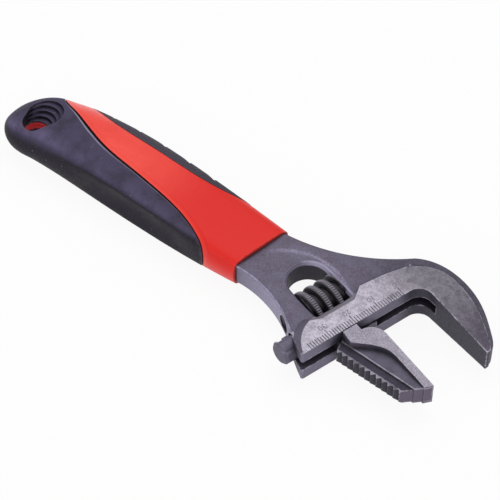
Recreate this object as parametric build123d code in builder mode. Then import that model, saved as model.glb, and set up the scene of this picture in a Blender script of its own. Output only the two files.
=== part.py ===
# Adjustable wrench with a reversible sliding jaw, nominal length 200 mm.
# X runs along the handle to the head, Y to the fixed jaw's side, Z up.
# The origin is the centre of the hang hole, at mid thickness.

import os
from math import atan2, ceil, copysign, cos, floor, pi, radians, sin, tan

from build123d import *

os.makedirs("parts", exist_ok=True)

# Head: a frame at the throat corner, x along the jaws and y along the slide to the fixed jaw
throat_x = 149.6
throat_y = 26.1
head_angle = 15.0
head_thickness = 13.6
neck_thickness = 9.0
throat_radius = 5.0
slide_length = 49.8
jaw_taper = 4.1

# Fixed jaw
jaw_length = 33.0
fixed_jaw_width = 13.3

# Sliding jaw at rest
opening = 22.2
smooth_rim = 2.9
rim_tip = 1.2
rim_bend = 1.8
rim_fall = 6.2
rim_foot = 0.4
shoulder_width = 5.5
shoulder_setback = 5.8
shoulder_gap = 0.3
jaw_height = 13.4
pocket_thickness = 7.4
jaw_depth = 15.9
root_rise = 3.2
shoulder_height = 3.0
teeth_thickness = 6.2
teeth_pitch = 2.3
teeth_depth = 0.75
teeth_chamfer = 0.8
teeth_count = 11
back_angle = 14.0
ledge_width = 3.4
ledge_tip = 3.2
web_thickness = 3.8
web_clearance = 0.15
web_reach = 2.8
pocket_reach = 3.6
web_rise = 0.6
web_length = 15.8

# Rack on the sliding jaw
rack_diameter = 8.2
rack_depth = 8.5
rack_clearance = 0.25
rack_length = 33.2
rack_chamfer = 0.8
thread_pitch = 4.3
thread_depth = 2.3

# Worm, its window, pin and spring
worm_diameter = 13.8
worm_depth = 17.6
worm_length = 13.7
crest_width = 2.1
flank_run = 0.15
mesh_gap = 0.2
window_width = 14.2
window_centre = -28.4
window_front = 11.2
window_back = 24.6
window_chamfer = 0.8
window_round = 0.7
pin_diameter = 4.0
pin_fit = 0.1
pin_end = 4.0
screw_diameter = 6.0
screw_length = 5.0
screw_sunk = 0.6
screw_slot_width = 1.0
screw_slot_depth = 1.2
spring_wire = 0.6
spring_turns = 3
spring_gap = 0.3
spring_bore = 3.5
spring_room = 4.0

# Scale on the head
scale_zero = 7.9
tick_count = 39
long_tick_every = 10
tick_length = 2.4
long_tick_length = 3.6
tick_width = 0.28
tick_depth = 0.15

# Grip
hang_hole = 9.0
red_ring = 3.0
terrace_count = 4
terrace_run = 0.5
terrace_shift = 1.28
terrace_rise = 1.3
terrace_floor = 2.1
terrace_angle = 84.0
funnel_wall = 1.6
grip_front = 97.6
grip_slant = 10.0
pad_thickness = 2.4
pad_proud = 0.1
tang_width = 15.0
tang_tail = 14.0
tang_front = 83.0
tang_centre = 5.7
cap_x = 0.1
cap_length = 13.2
cap_steps = 5
cap_end = 80.0
near_belly_x = 59.1
far_belly_x = 39.1
sections_end = 107.0
body_steps = 12
near_tail = -7.3
near_belly = -7.4
near_front = -5.4
near_ease = 2.0
far_tail = 19.1
far_belly = 21.6
far_front = 17.2
far_ease = 1.2
half_tail = 7.6
half_belly = 8.7
half_front = 5.2
half_ease = 1.8
tail_droop = 3.6
droop_start = 17.0
section_points = 16
tail_power = 2.6
front_power = 5.0
flute_start = 14.0
flute_end = 82.0
flute_depth = 1.5
flute_reach = 0.9
seam_width = 0.8
seam_taper = 0.85
seam_opening = 3
seam_depth = 0.7
seam_lean = 0.7
strip_start = 8.0
strip_end = 83.0
strip_width = 5.8
strip_shape = ((0, 0), (0.2, 0.8), (0.5, 1), (0.8, 0.75), (1, 0))
rib_count = 5
rib_margin = 12.5
rib_pitch = 11.6
rib_depth = 2.0

# Edge of the black tail pad, from the tail to its point near the front
pad_edge = (
    (-3.2, 20.5),
    (1.1, 15.0),
    (9.8, 11.8),
    (19.4, 8.3),
    (28.9, 5.4),
    (46.6, 2.8),
    (64.3, 0.0),
    (71.1, -1.8),
    (77.4, -4.2),
    (82.0, -6.5),
    (85.0, -9.0),
)

# Forging outline: distances along the jaws (j) and along the slide (s) from the throat corner
neck_width = 22.0
neck_front = 98.1
neck_waist = 42.2
waist_j = -34.0
cheek_j = -17.3
cheek_flare = 1.8
slide_root_j = -7.5
slide_root_flare = 5.4
nape_j = -28.2
nape_s = -12.3
heel_j = -11.8
heel_s = 6.45
tip_round = 2.2
lip_blunt = 0.5
lip_turn = 37.0
forged_round = 1.2

# Ground face of the head: edge of the land, and how far its sloped rim runs out
land_width = 7.9
land_swell = 9.6
land_heel = 11.5
land_start = 1.0
land_swell_length = 10.3
land_heel_gap = 3.9
land_back_j = -9.6
land_back_s = -3.4
land_turn_j = -6.85
land_turn_s = 3.1
land_crown_j = -1.0
land_crown_s = 8.2
land_rim = 3.6
land_tip = 0.9
land_round = 1.5
rim_run = 2.9
rim_steep = 0.25

# Frames and shared places
turn = radians(head_angle)
head = Plane(
    origin=(throat_x, throat_y, 0),
    x_dir=(cos(turn), -sin(turn), 0),
    z_dir=(0, 0, 1),
)


def at_head(j, s):
    # The X and Y of a place given along the jaws (j) and along the slide (s)
    place = head.from_local_coords((j, s, 0))
    return (place.X, place.Y)


def across_slide(j, s):
    # A plane square to the slide: x along the jaws, y up, normal away from the fixed jaw
    centre = head.from_local_coords((j, s, 0))
    return Plane(origin=centre, x_dir=head.x_dir, z_dir=-head.y_dir)


slide_axis = Axis(head.origin, head.y_dir)
half_head = head_thickness / 2
window_near = window_centre - window_width / 2
window_far = window_centre + window_width / 2
pin_far = window_far + pin_end
screw_end = -neck_waist - screw_sunk
half_neck = neck_thickness / 2
far_reach = 80.0
slot_width = web_thickness + 2 * web_clearance
bore_radius = rack_diameter / 2 + rack_clearance

# Wrench body: tang, neck, head and fixed jaw in one forging
slant_shift = neck_width * tan(radians(grip_slant)) / 2
neck_near = (neck_front - slant_shift, tang_centre - neck_width / 2)
neck_far = (neck_front + slant_shift, tang_centre + neck_width / 2)
tang_low = tang_centre - tang_width / 2
tang_high = tang_centre + tang_width / 2
heel = at_head(heel_j, heel_s)
corner_arc = throat_radius * (1 - cos(pi / 4))


def body_plan():
    # Plan of the forging: tang, neck, slide edge, throat and fixed jaw
    with BuildSketch() as plan:
        with BuildLine():
            Polyline(neck_far, (tang_front, tang_high), (tang_tail, tang_high))
            Line((tang_tail, tang_high), (tang_tail, tang_low))
            Polyline((tang_tail, tang_low), (tang_front, tang_low), neck_near)
            Spline(
                neck_near,
                at_head(waist_j, -neck_waist),
                at_head(cheek_j, -neck_waist - cheek_flare),
                at_head(slide_root_j, -neck_waist - slide_root_flare),
                at_head(0, -slide_length),
            )
            Line(at_head(0, -slide_length), at_head(0, -throat_radius))
            ThreePointArc(
                at_head(0, -throat_radius),
                at_head(corner_arc, -corner_arc),
                at_head(throat_radius, 0),
            )
            Line(at_head(throat_radius, 0), at_head(jaw_length, 0))
            Spline(
                at_head(jaw_length, 0),
                at_head(0.99 * jaw_length, tip_round),
                at_head(0.83 * jaw_length, 0.5 * fixed_jaw_width),
                at_head(0.48 * jaw_length, 0.89 * fixed_jaw_width),
                at_head(0.12 * jaw_length, fixed_jaw_width),
                at_head(-0.22 * jaw_length, 0.77 * fixed_jaw_width),
                heel,
            )
            ThreePointArc(heel, at_head(nape_j, nape_s), neck_far)
        make_face()
    return plan.sketch


def ground_face(run):
    # Outline of the head's ground face on the head frame, with its rim let out by run
    steep = rim_steep * run
    beside_window = (-land_width - run, window_far - land_start + steep)
    heel_side = (-land_heel - steep, window_far + land_heel_gap + steep)
    with BuildSketch(head) as outline:
        with BuildLine():
            left = (-land_start / 2 - 0.7 * run, land_start - slide_length - 0.8 * run)
            left_arc = (-0.7 * land_swell - 0.8 * run, land_swell_length / 2 - slide_length - 0.8 * run)
            bulge = (-land_swell - run, land_swell_length - slide_length - 0.2 * run)
            tip = (jaw_length, land_tip + steep)
            Polyline((far_reach, -far_reach), (0, -far_reach), left)
            ThreePointArc(left, left_arc, bulge)
            Polyline(bulge, (-land_width - run, window_near - steep), beside_window, heel_side)
            Spline(
                heel_side,
                (land_back_j - steep, land_back_s),
                (land_turn_j - steep, land_turn_s + steep),
                (land_crown_j - steep, land_crown_s + steep),
                (0.21 * jaw_length, fixed_jaw_width - land_rim + steep),
                (0.6 * jaw_length, 0.56 * fixed_jaw_width + steep),
                tip,
            )
            Polyline(tip, (far_reach, 0), (far_reach, -far_reach))
        make_face()
        for corner in (beside_window, heel_side):
            fillet(outline.vertices().sort_by_distance(corner)[0], radius=land_round)
    return outline.sketch


def window_plan(grow):
    # Plan of the worm's window: straight sides and a round back, grown all round
    width = window_width + 2 * grow
    with BuildSketch(head) as plan:
        with Locations((-window_back, window_centre)):
            Circle(width / 2)
            Rectangle(window_back - window_front + grow, width, align=(Align.MIN, Align.CENTER))
        fillet(plan.vertices().group_by(Axis.X)[-1], radius=window_round + grow)
    return plan.sketch


# Head between its two ground faces, with their sloped rims
with BuildPart() as head_block:
    extrude(ground_face(rim_run), amount=half_neck, both=True)
    loft([Pos(0, 0, half_neck) * ground_face(rim_run), Pos(0, 0, half_head) * ground_face(0)], ruled=True)
    mirror(about=Plane.XY)
    extrude(body_plan(), amount=half_head, both=True, mode=Mode.INTERSECT)

with BuildPart() as wrench_body:
    # Forged level with rounded edges, then the head
    extrude(body_plan(), amount=half_neck, both=True)
    long_edges = wrench_body.edges().filter_by(GeomType.LINE, reverse=True)
    fillet(long_edges.filter_by(lambda edge: edge.length > 2 * throat_radius), radius=forged_round)
    add(head_block.part)

    # Blunt corner at the end of the slide edge
    with BuildSketch(head):
        with Locations(Location((0, -slide_length, 0), (0, 0, lip_turn))):
            Rectangle(throat_radius, 2 * lip_blunt)
    extrude(amount=head_thickness, both=True, mode=Mode.SUBTRACT)

    # Jaws thin towards their tips
    tip_drop = far_reach * tan(radians(jaw_taper))
    with BuildSketch(across_slide(0, far_reach)):
        Polygon(
            (0, half_head),
            (far_reach, half_head - tip_drop),
            (far_reach, head_thickness),
            (0, head_thickness),
            align=None,
        )
        mirror(about=Plane.XZ)
    extrude(amount=2 * far_reach, mode=Mode.SUBTRACT)

    # Slot for the web, with a rounded pocket at the fixed jaw's root
    with BuildSketch(head):
        with Locations((-rack_depth, web_reach + web_clearance)):
            Rectangle(rack_depth + web_rise + web_clearance, far_reach, align=(Align.MIN, Align.MAX))
        with Locations((pocket_reach, 0)):
            Circle(pocket_reach + web_clearance)
    extrude(amount=slot_width / 2, both=True, mode=Mode.SUBTRACT)

    # Bore for the rack
    with BuildSketch(across_slide(-rack_depth, web_reach + 2 * web_clearance)):
        Circle(bore_radius)
    extrude(amount=far_reach, mode=Mode.SUBTRACT)

    # Window for the worm, with a sloped edge at both faces
    extrude(window_plan(0), amount=head_thickness, both=True, mode=Mode.SUBTRACT)
    for side in (1, -1):
        low = Pos(0, 0, side * (half_neck - window_chamfer)) * window_plan(0)
        high = Pos(0, 0, side * (half_neck + window_chamfer)) * window_plan(2 * window_chamfer)
        loft([low, high], ruled=True, mode=Mode.SUBTRACT)

    # Scale along the slide edge, read at the middle of the sliding jaw's shoulder
    with BuildSketch(head.offset(half_head)):
        for tick in range(tick_count):
            length = long_tick_length if tick % long_tick_every == 0 else tick_length
            with Locations((0, -scale_zero - tick)):
                Rectangle(length, tick_width, align=(Align.MAX, Align.CENTER))
    extrude(amount=-tick_depth, mode=Mode.SUBTRACT)

    # Holes for the worm's pin and its screw end
    with BuildSketch(across_slide(-worm_depth, pin_far + pin_fit)):
        Circle(pin_diameter / 2 + pin_fit)
    extrude(amount=far_reach, mode=Mode.SUBTRACT)
    with BuildSketch(across_slide(-worm_depth, screw_end + screw_length + pin_fit)):
        Circle(screw_diameter / 2 + pin_fit)
    extrude(amount=far_reach, mode=Mode.SUBTRACT)
wrench_body.part.label = "wrench_body"
export_step(wrench_body.part, "parts/wrench_body.step")

# Thread that the worm and the rack share
worm_radius = worm_diameter / 2
root_radius = worm_radius - thread_depth
thread_tip = worm_radius - worm_depth
thread_root = root_radius - worm_depth
root_width = crest_width + 2 * flank_run
gap_floor = crest_width + 2 * mesh_gap
gap_mouth = root_width + 2 * mesh_gap
lead_angle = atan2(thread_pitch, 2 * pi * (worm_radius - thread_depth / 2))
thread_normal = Vector(0, 0, 1) * cos(lead_angle) - head.y_dir * sin(lead_angle)
rack_start = -opening + web_reach - rack_length
rack_first = floor((rack_start - window_centre) / thread_pitch)
rack_last = ceil((rack_start + rack_length - window_centre) / thread_pitch)

# Sliding jaw with web and rack, one forging, at its rest opening
face = -opening
half_jaw = jaw_height / 2
back_turn = radians(back_angle)
back_dir = head.x_dir * cos(back_turn) + head.y_dir * sin(back_turn)
root_back = (root_rise, face - jaw_depth)
tip_back = (
    root_back[0] + teeth_count * teeth_pitch * cos(back_turn),
    root_back[1] + teeth_count * teeth_pitch * sin(back_turn),
)
shoulder_right = face - shoulder_setback
shoulder_left = shoulder_right - shoulder_width
relief_start = shoulder_setback + shoulder_height
rim_edge = face - smooth_rim
ledge = (ledge_width * sin(back_turn), ledge_width * cos(back_turn))

with BuildPart() as sliding_jaw:
    # Thin plate that carries the pipe teeth, bevelled along its back edges
    with BuildSketch(head):
        Polygon(
            (shoulder_gap, shoulder_right),
            (relief_start, face),
            (jaw_length, face),
            tip_back,
            root_back,
            (shoulder_gap, shoulder_left),
            align=None,
        )
    extrude(amount=teeth_thickness / 2, both=True)
    chamfer(sliding_jaw.edges().filter_by(Axis(head.origin, back_dir)), length=teeth_chamfer)

    # Pocket floor, thicker than the toothed edge
    with BuildSketch(head):
        Polygon(
            (shoulder_gap, shoulder_right),
            (relief_start, face),
            (jaw_length, face),
            (tip_back[0] - ledge[0] + ledge_tip, tip_back[1] + ledge[1] + ledge_tip / 4),
            (root_back[0] - 2 * ledge[0], root_back[1] + ledge[1]),
            (shoulder_gap, shoulder_left),
            align=None,
        )
    extrude(amount=pocket_thickness / 2, both=True)

    # Full-height rim behind the smooth face, and the shoulder that rides on the lips
    with BuildSketch(head):
        with BuildLine():
            Polyline(
                (relief_start, face),
                (jaw_length, face),
                (jaw_length - rim_tip, rim_edge),
                (0.52 * jaw_length, rim_edge),
            )
            Spline(
                (0.52 * jaw_length, rim_edge),
                (0.36 * jaw_length, rim_edge - rim_bend),
                (0.22 * jaw_length, rim_edge - rim_fall),
                (0.15 * jaw_length, shoulder_left - rim_foot),
            )
            Polyline(
                (0.15 * jaw_length, shoulder_left - rim_foot),
                (shoulder_gap, shoulder_left),
                (shoulder_gap, shoulder_right),
                (relief_start - shoulder_setback, shoulder_right),
            )
            RadiusArc(
                (relief_start - shoulder_setback, shoulder_right),
                (relief_start, face),
                shoulder_setback,
            )
        make_face()
    extrude(amount=half_jaw, both=True)
    with BuildSketch(across_slide(0, far_reach)):
        Polygon(
            (0, half_jaw),
            (far_reach, half_jaw - tip_drop),
            (far_reach, jaw_height),
            (0, jaw_height),
            align=None,
        )
        mirror(about=Plane.XZ)
    extrude(amount=2 * far_reach, mode=Mode.SUBTRACT)

    # Relief in the thinner plates under the rim's round corner
    with BuildSketch(head):
        with Locations((relief_start, shoulder_right)):
            Rectangle(2 * relief_start, 2 * shoulder_setback)
            Circle(shoulder_setback, mode=Mode.SUBTRACT)
            Rectangle(jaw_length, far_reach, align=(Align.MIN, Align.CENTER), mode=Mode.SUBTRACT)
            Rectangle(jaw_length, far_reach, align=(Align.CENTER, Align.MAX), mode=Mode.SUBTRACT)
    extrude(amount=head_thickness, both=True, mode=Mode.SUBTRACT)

    # Pipe teeth across the back edge
    with BuildSketch(head):
        for tooth in range(teeth_count):
            along = (tooth + 0.5) * teeth_pitch
            place = (
                root_back[0] + along * cos(back_turn),
                root_back[1] + along * sin(back_turn),
            )
            with Locations(Location((place[0], place[1], 0), (0, 0, back_angle))):
                Polygon(
                    (-teeth_pitch / 2, -teeth_depth / 8),
                    (teeth_pitch / 5, teeth_depth),
                    (teeth_pitch / 2, -teeth_depth / 8),
                    align=None,
                )
    extrude(amount=head_thickness, both=True, mode=Mode.SUBTRACT)

    # Web in the slot and the round rack under it
    with BuildSketch(head):
        with Locations((-rack_depth, face + web_reach)):
            Rectangle(
                rack_depth + web_rise,
                web_length,
                align=(Align.MIN, Align.MAX),
            )
    extrude(amount=web_thickness / 2, both=True)
    with BuildSketch(across_slide(-rack_depth, face + web_reach)):
        Circle(rack_diameter / 2)
    extrude(amount=rack_length)
    rack_end = sliding_jaw.edges().filter_by(GeomType.CIRCLE).sort_by(slide_axis)[0]
    chamfer(rack_end, length=rack_chamfer)

    # Gaps of the rack, along the worm's thread and over the whole rod
    for gap in range(rack_first, rack_last + 1):
        centre = head.from_local_coords((0, window_centre + gap * thread_pitch, 0))
        with BuildSketch(Plane(origin=centre, x_dir=head.x_dir, z_dir=thread_normal)):
            Polygon(
                (thread_tip + mesh_gap, -gap_floor / 2),
                (thread_tip + mesh_gap, gap_floor / 2),
                (thread_root, gap_mouth / 2),
                (thread_root, -gap_mouth / 2),
                align=None,
            )
        extrude(amount=rack_diameter, both=True, mode=Mode.SUBTRACT)
sliding_jaw.part.label = "sliding_jaw"
export_step(sliding_jaw.part, "parts/sliding_jaw.step")

# Adjusting worm: right-hand thread on a bored core, its crest in mesh with the rack
worm_start = window_centre - worm_length / 2
worm_axis = Plane(
    origin=head.from_local_coords((-worm_depth, worm_start, 0)),
    x_dir=head.x_dir,
    z_dir=head.y_dir,
)
turns_each_way = ceil(worm_length / 2 / thread_pitch) + 1
thread_start = window_centre - turns_each_way * thread_pitch
thread_below = 0.5
thread_foot = root_width + 2 * flank_run * thread_below / thread_depth
thread_path = worm_axis * Helix(
    pitch=thread_pitch,
    height=2 * turns_each_way * thread_pitch,
    radius=root_radius,
    center=(0, 0, thread_start - worm_start),
)

with BuildPart() as adjusting_worm:
    with BuildSketch(Plane(head.from_local_coords((0, thread_start, 0)), head.x_dir, (0, 0, 1))):
        Polygon(
            (thread_tip, -crest_width / 2),
            (thread_tip, crest_width / 2),
            (thread_root - thread_below, thread_foot / 2),
            (thread_root - thread_below, -thread_foot / 2),
            align=None,
        )
    sweep(path=thread_path, is_frenet=True)
    with BuildSketch(worm_axis):
        Circle(worm_diameter)
    extrude(amount=worm_length, mode=Mode.INTERSECT)
    with BuildSketch(worm_axis):
        Circle(root_radius)
    extrude(amount=worm_length)
    with BuildSketch(worm_axis):
        Circle(pin_diameter / 2 + pin_fit)
    extrude(amount=worm_length, mode=Mode.SUBTRACT)
    with BuildSketch(worm_axis):
        Circle(spring_bore)
    extrude(amount=spring_room, mode=Mode.SUBTRACT)
adjusting_worm.part.label = "adjusting_worm"
export_step(adjusting_worm.part, "parts/adjusting_worm.step")

# Worm pin: a slotted screw in the near wall, its shank through the worm into the far wall
with BuildPart() as worm_pin:
    with BuildSketch(across_slide(-worm_depth, pin_far)):
        Circle(pin_diameter / 2)
    extrude(amount=pin_far - screw_end)
    with BuildSketch(across_slide(-worm_depth, screw_end + screw_length)):
        Circle(screw_diameter / 2)
    extrude(amount=screw_length)
    with BuildSketch(across_slide(-worm_depth, screw_end + screw_slot_depth)):
        Rectangle(screw_slot_width, screw_diameter)
    extrude(amount=screw_slot_depth, mode=Mode.SUBTRACT)
worm_pin.part.label = "worm_pin"
export_step(worm_pin.part, "parts/worm_pin.step")

# Worm spring: on the pin, between the near wall and the worm's counterbore
spring_radius = pin_diameter / 2 + spring_gap + spring_wire / 2
spring_start = window_near + spring_gap + spring_wire / 2
spring_height = worm_start + spring_room - spring_gap - spring_wire / 2 - spring_start
spring_axis = Plane(
    origin=head.from_local_coords((-worm_depth, spring_start, 0)),
    x_dir=head.x_dir,
    z_dir=head.y_dir,
)
spring_path = spring_axis * Helix(
    pitch=spring_height / spring_turns,
    height=spring_height,
    radius=spring_radius,
)

with BuildPart() as worm_spring:
    with BuildSketch(Plane(spring_path @ 0, z_dir=spring_path % 0)):
        Circle(spring_wire / 2)
    sweep(path=spring_path, is_frenet=True)
worm_spring.part.label = "worm_spring"
export_step(worm_spring.part, "parts/worm_spring.step")


# Grip form: near side, far side and half thickness each swell towards a belly
def swell(x, belly, at_tail, at_belly, at_front, ease):
    if x < belly:
        share = (belly - x) / (belly - cap_x)
        return at_belly + (at_tail - at_belly) * share**2
    share = (x - belly) / (sections_end - belly)
    return at_belly + (at_front - at_belly) * share**ease


def far_side(x):
    return swell(x, far_belly_x, far_tail, far_belly, far_front, far_ease)


def grip_section(x, grow, cap):
    # One cross-section: a superellipse, boxier towards the front, with a flute in its near side
    near = swell(x, near_belly_x, near_tail, near_belly, near_front, near_ease)
    far = far_side(x)
    half = (swell(x, far_belly_x, half_tail, half_belly, half_front, half_ease) + grow) * cap
    wide = ((far - near) / 2 + grow) * cap
    power = 2 / (tail_power + (front_power - tail_power) * max(x, 0) / sections_end)
    flute_share = min(max((x - flute_start) / (flute_end - flute_start), 0), 1)
    points = []
    for step in range(section_points):
        angle = 2 * pi * (step + 0.5) / section_points
        across = copysign(abs(cos(angle)) ** power, cos(angle))
        up = copysign(abs(sin(angle)) ** power, sin(angle))
        flute = flute_depth * sin(pi * flute_share) if cos(angle) < -flute_reach else 0
        points.append((wide * across + flute, half * up))
    droop = tail_droop * (max(0, droop_start - x) / (droop_start + cap_length - cap_x)) ** 2
    centre = (x, (near + far) / 2 - droop, 0)
    with BuildSketch(Plane(origin=centre, x_dir=(0, 1, 0), z_dir=(1, 0, 0))) as section:
        with BuildLine():
            Spline(*points, periodic=True)
        make_face()
    return section.sketch


def grip_envelope(grow, mode=Mode.ADD):
    # The grip's form, grown or shrunk all round, from the tail cap to past the front end
    sections = []
    for step in range(cap_steps, 0, -1):
        angle = radians(cap_end) * step / cap_steps
        sections.append(grip_section(cap_x - (cap_length + grow) * sin(angle), grow, cos(angle)))
    for step in range(body_steps + 1):
        x = cap_x + (sections_end - cap_x) * step / body_steps
        sections.append(grip_section(x, grow, 1))
    loft(sections, mode=mode)


def tail_pad_plan(shift):
    # Plan of the black tail pad: the near side of its S-shaped edge, set back less towards both ends
    places = []
    for step, (x, y) in enumerate(pad_edge):
        back = shift * min(step / seam_opening, 1) * (1 - seam_taper * step / (len(pad_edge) - 1))
        places.append((x - seam_lean * back, y - back))
    with BuildSketch() as plan:
        with BuildLine():
            edge = Spline(*places)
            Polyline(edge @ 1, (places[-1][0], -far_reach), (-far_reach, -far_reach))
            Polyline((-far_reach, -far_reach), (-far_reach, places[0][1]), edge @ 0)
        make_face()
    return plan.sketch


def far_strip_plan():
    # Plan of the black far strip: a long sliver that runs out to a point at both ends
    places = []
    for share, depth in strip_shape:
        x = strip_start + share * (strip_end - strip_start)
        places.append((x, far_side(x) - depth * strip_width))
    with BuildSketch() as plan:
        with BuildLine():
            edge = Spline(*places)
            Polyline(edge @ 1, (strip_end, far_reach), (strip_start, far_reach), edge @ 0)
        make_face()
    return plan.sketch


terrace_turn = radians(terrace_angle)
funnel_reach = (terrace_count - 1) * terrace_shift
funnel_radius = hang_hole / 2 + (terrace_count - 1) * terrace_run + funnel_wall
front_cut = Plane(
    origin=(grip_front, tang_centre, 0),
    z_dir=(cos(radians(grip_slant)), -sin(radians(grip_slant)), 0),
)

# Black plugs above and below the core's red ring, for the funnels round the hang hole
with BuildPart() as funnel_plugs:
    for side in (1, -1):
        with BuildSketch(Plane.XY.offset(side * red_ring / 2)):
            with Locations((funnel_reach * cos(terrace_turn), funnel_reach * sin(terrace_turn))):
                Circle(funnel_radius)
        extrude(amount=side * far_reach)
    grip_envelope(-pad_thickness, Mode.INTERSECT)

with BuildPart() as grip_core:
    grip_envelope(0)
    extrude(tail_pad_plan(0), amount=far_reach, both=True, mode=Mode.SUBTRACT)
    extrude(far_strip_plan(), amount=far_reach, both=True, mode=Mode.SUBTRACT)
    grip_envelope(-pad_thickness)
    split(bisect_by=front_cut, keep=Keep.BOTTOM)
    add(funnel_plugs.part, mode=Mode.SUBTRACT)
    with BuildSketch():
        Circle(hang_hole / 2)
    extrude(amount=far_reach, both=True, mode=Mode.SUBTRACT)
    add(wrench_body.part, mode=Mode.SUBTRACT)
grip_core.part.label = "grip_core"
export_step(grip_core.part, "parts/grip_core.step")

# Black tail pad: its edge stands back from the core to leave a narrow seam groove
with BuildPart() as seam_bed:
    grip_envelope(-seam_depth)
    extrude(tail_pad_plan(0), amount=far_reach, both=True, mode=Mode.INTERSECT)

with BuildPart() as grip_tail_pad:
    grip_envelope(pad_proud)
    extrude(tail_pad_plan(seam_width), amount=far_reach, both=True, mode=Mode.INTERSECT)
    add(seam_bed.part)
    grip_envelope(-pad_thickness, Mode.SUBTRACT)
    add(funnel_plugs.part)
    with BuildSketch():
        Circle(hang_hole / 2)
    extrude(amount=far_reach, both=True, mode=Mode.SUBTRACT)

    # Terraces that open like a shell from the hole to the far and head side
    for side in (1, -1):
        for step in range(terrace_count):
            level = terrace_floor + step * terrace_rise
            shift = (step + 1) * terrace_shift
            with BuildSketch(Plane.XY.offset(side * level)):
                with Locations((shift * cos(terrace_turn), shift * sin(terrace_turn))):
                    Circle(hang_hole / 2 + (step + 1) * terrace_run)
            extrude(amount=side * far_reach, mode=Mode.SUBTRACT)
grip_tail_pad.part.label = "grip_tail_pad"
export_step(grip_tail_pad.part, "parts/grip_tail_pad.step")

# Black far strip with shallow grooves across it
with BuildPart() as grip_far_strip:
    grip_envelope(pad_proud)
    extrude(far_strip_plan(), amount=far_reach, both=True, mode=Mode.INTERSECT)
    grip_envelope(-pad_thickness, Mode.SUBTRACT)
    with BuildSketch():
        for rib in range(rib_count):
            x = strip_start + rib_margin + rib * rib_pitch
            far = far_side(x) + pad_proud
            with Locations((x, far)):
                Polygon(
                    (0, -rib_depth),
                    (rib_depth / 3, 3 * rib_depth),
                    (-3 * rib_depth, 3 * rib_depth),
                    (-3 * rib_depth, 0),
                    align=None,
                )
    extrude(amount=far_reach, both=True, mode=Mode.SUBTRACT)
grip_far_strip.part.label = "grip_far_strip"
export_step(grip_far_strip.part, "parts/grip_far_strip.step")
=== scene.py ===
from math import atan2, cos, hypot, pi, radians, sin, tan

import bpy
from mathutils import Matrix, Vector


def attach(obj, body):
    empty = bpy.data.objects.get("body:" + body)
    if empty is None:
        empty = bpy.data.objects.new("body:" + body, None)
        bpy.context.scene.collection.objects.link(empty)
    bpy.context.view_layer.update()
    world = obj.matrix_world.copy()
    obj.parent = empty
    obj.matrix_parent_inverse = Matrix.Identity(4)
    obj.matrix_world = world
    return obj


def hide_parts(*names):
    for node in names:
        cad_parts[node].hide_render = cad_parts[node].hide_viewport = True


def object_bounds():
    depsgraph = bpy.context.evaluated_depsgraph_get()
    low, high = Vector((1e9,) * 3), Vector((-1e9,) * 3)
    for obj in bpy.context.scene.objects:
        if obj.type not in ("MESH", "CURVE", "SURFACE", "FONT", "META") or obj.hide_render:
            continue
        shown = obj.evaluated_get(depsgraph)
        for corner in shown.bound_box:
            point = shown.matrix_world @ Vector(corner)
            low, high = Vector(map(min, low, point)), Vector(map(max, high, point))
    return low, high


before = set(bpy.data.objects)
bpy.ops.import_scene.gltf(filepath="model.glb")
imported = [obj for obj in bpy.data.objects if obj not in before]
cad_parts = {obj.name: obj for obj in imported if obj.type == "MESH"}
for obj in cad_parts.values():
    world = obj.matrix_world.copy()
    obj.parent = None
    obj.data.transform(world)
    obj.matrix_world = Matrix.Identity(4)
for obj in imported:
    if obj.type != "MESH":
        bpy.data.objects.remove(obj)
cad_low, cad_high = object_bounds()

mm = 0.001


def in_mm(*sizes):
    # Sizes or places written in millimetres, as metres
    return tuple(size * mm for size in sizes)


# Places on the wrench, in metres, in the part's own frame
throat = Vector((149.6, 26.1, 0)) * mm
head_angle = radians(15)
along_jaws = Vector((cos(head_angle), -sin(head_angle), 0))
along_slide = Vector((sin(head_angle), cos(head_angle), 0))
upward = Vector((0, 0, 1))
half_head = 6.8 * mm
half_neck = 4.5 * mm
half_jaw = 6.7 * mm
jaw_taper = radians(4.1)

# Foot of the sliding jaw's pocket ledge, along the jaws and along the slide, and how it climbs
ledge_root = in_mm(1.6, -34.8)
ledge_slope = 0.2422

# Worm, and the window it turns in
worm_depth = 17.6 * mm
worm_radius = 6.9 * mm
worm_root = 4.6 * mm
worm_length = 13.7 * mm
thread_pitch = 4.3 * mm
crest_width = 2.1 * mm
flank_run = 0.15 * mm
pin_bore = 2.1 * mm
spring_bore = 3.5 * mm
spring_room = 4.0 * mm
knurl_teeth = 48
knurl_depth = 0.26 * mm
knurl_reach = 0.2 * mm
window_centre = -28.4 * mm
window_front = -11.2 * mm
window_back = -24.6 * mm
window_half = 7.1 * mm
ring_centre = in_mm(-22.6, -40.7)
ring_radius = 21.9 * mm

# Crown of the worm's thread, as depth below the crest and half width in millimetres
crest_crown = ((0.9, 1.06), (0.4, 0.92), (0.12, 0.65), (0.0, 0.3))

# Scale numbers on the ground face
scale_zero = -7.9 * mm
scale_step = -10 * mm
number_line = -5.1 * mm
number_size = 2.9 * mm
number_relief = 0.02 * mm

# Seam between the red core and the black tail pad, as X and Y in millimetres
seam_line = (
    (-3.2, 20.5),
    (1.1, 15.0),
    (9.8, 11.8),
    (19.4, 8.3),
    (28.9, 5.4),
    (46.6, 2.8),
    (64.3, 0.0),
    (71.1, -1.8),
    (77.4, -4.2),
    (82.0, -6.5),
    (85.0, -9.0),
)

# Groove along the seam: its width at the tail and at the front, and how it opens from the tail
groove_width = in_mm(1.0, 0.2)
groove_opening = 0.25
groove_start = 0.3

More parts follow.
